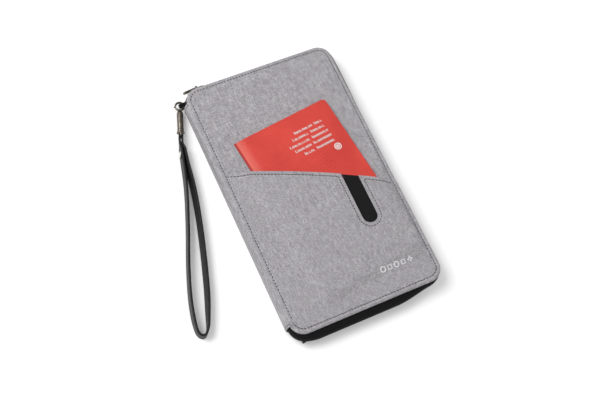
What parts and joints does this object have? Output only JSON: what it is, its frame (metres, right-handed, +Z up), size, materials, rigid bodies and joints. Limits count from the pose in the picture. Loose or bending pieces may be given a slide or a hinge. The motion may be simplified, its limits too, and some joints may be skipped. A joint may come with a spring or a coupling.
{
  "type": "passport holder wallet",
  "caption": "Zip-round travel wallet in grey melange fabric with a front pocket that holds a passport, card slots inside and a wrist strap on a swivel clasp.",
  "frame": {"origin": "centre of the back cover's outer face, which lies on the table", "axes": "+Z up, out of the front cover; +Y along the wallet's length towards its top end; the spine is on the -X side"},
  "size_m": [0.2031, 0.2354, 0.0214],
  "materials": {
    "grey_fabric": "matte",
    "board": "matte",
    "lining": "matte",
    "zip_tape": "matte",
    "zip_coil": "satin",
    "metal": "satin",
    "passport_cover": "satin",
    "pages": "matte",
    "black_insert": "matte",
    "strap_leather": "satin",
    "badge": "satin"
  },
  "bodies": {
    "back_cover": {"back_cover_fabric": "grey_fabric", "back_cover_board": "board", "back_cover_lining": "lining", "back_cover_edge": "grey_fabric", "document_pocket": "lining", "back_zip_tape": "zip_tape", "back_zip_coil": "zip_coil", "zip_stop_top": "metal", "zip_stop_foot": "metal", "strap_tab": "zip_tape"},
    "spine": {"spine_fabric": "grey_fabric", "spine_board": "board", "spine_lining": "lining"},
    "front_cover": {"front_cover_lining": "lining", "front_cover_board": "board", "front_cover_fabric": "grey_fabric", "front_cover_edge": "grey_fabric", "front_zip_tape": "zip_tape", "front_zip_coil": "zip_coil", "card_slot_panel_1": "lining", "card_slot_panel_2": "lining", "card_slot_panel_3": "lining", "card_slot_panel_4": "lining", "front_pocket_panel": "grey_fabric", "thumb_slot_insert": "black_insert", "pocket_badge": "badge"},
    "passport": {"passport_cover": "passport_cover", "passport_pages": "pages"},
    "slider": {"zip_slider": "metal"},
    "pull": {"zip_pull": "metal"},
    "clasp": {"clasp_hook": "metal", "clasp_barrel": "metal"},
    "gate": {"clasp_gate": "metal"},
    "swivel": {"swivel_eye": "metal"},
    "strap": {"strap_fold": "strap_leather", "wrist_strap": "strap_leather", "rivet_cap": "metal", "rivet_post": "metal"}
  },
  "joints": [
    {"name": "spine_fold", "type": "hinge", "parent": "back_cover", "child": "spine", "pos_m": [-0.0665, 0, 0.003], "axis": [0, -1, 0], "range_deg": [0, 90]},
    {"name": "cover_fold", "type": "hinge", "parent": "spine", "child": "front_cover", "pos_m": [-0.0665, 0, 0.014], "axis": [0, -1, 0], "range_deg": [0, 90]},
    {"name": "passport_slide", "type": "slide", "parent": "front_cover", "child": "passport", "axis": [-0.1253, 0.9921, 0], "range_m": [-0.0195, 0.12]},
    {"name": "zip_slide", "type": "slide", "parent": "back_cover", "child": "slider", "axis": [1, 0, 0], "range_m": [0, 0.1]},
    {"name": "pull_hinge", "type": "hinge", "parent": "slider", "child": "pull", "pos_m": [-0.0525, 0.1167, 0.0085], "axis": [0, 0, -1], "range_deg": [0, 165]},
    {"name": "clasp_swing", "type": "hinge", "parent": "back_cover", "child": "clasp", "pos_m": [-0.071, 0.1075, 0.0049], "axis": [0, 0, 1], "range_deg": [-162, 0]},
    {"name": "gate_hinge", "type": "hinge", "parent": "clasp", "child": "gate", "pos_m": [-0.07455, 0.10689, 0.0049], "axis": [0, 0, -1], "range_deg": [0, 13], "stiffness_Nm_per_rad": 0.002, "springref_deg": -11.46},
    {"name": "swivel_turn", "type": "hinge", "parent": "clasp", "child": "swivel", "pos_m": [-0.08067, 0.08122, 0.0049], "axis": [-0.3453, -0.9385, 0], "range_deg": [-90, 90]},
    {"name": "strap_swing", "type": "hinge", "parent": "swivel", "child": "strap", "pos_m": [-0.08067, 0.08122, 0.0049], "axis": [0, 0, 1], "range_deg": [-45, 10]}
  ],
  "couplings": [
    {"joint": "cover_fold", "follows": "spine_fold", "ratio": 1},
    {"joint": "clasp_swing", "follows": "spine_fold", "ratio": -1.8}
  ]
}
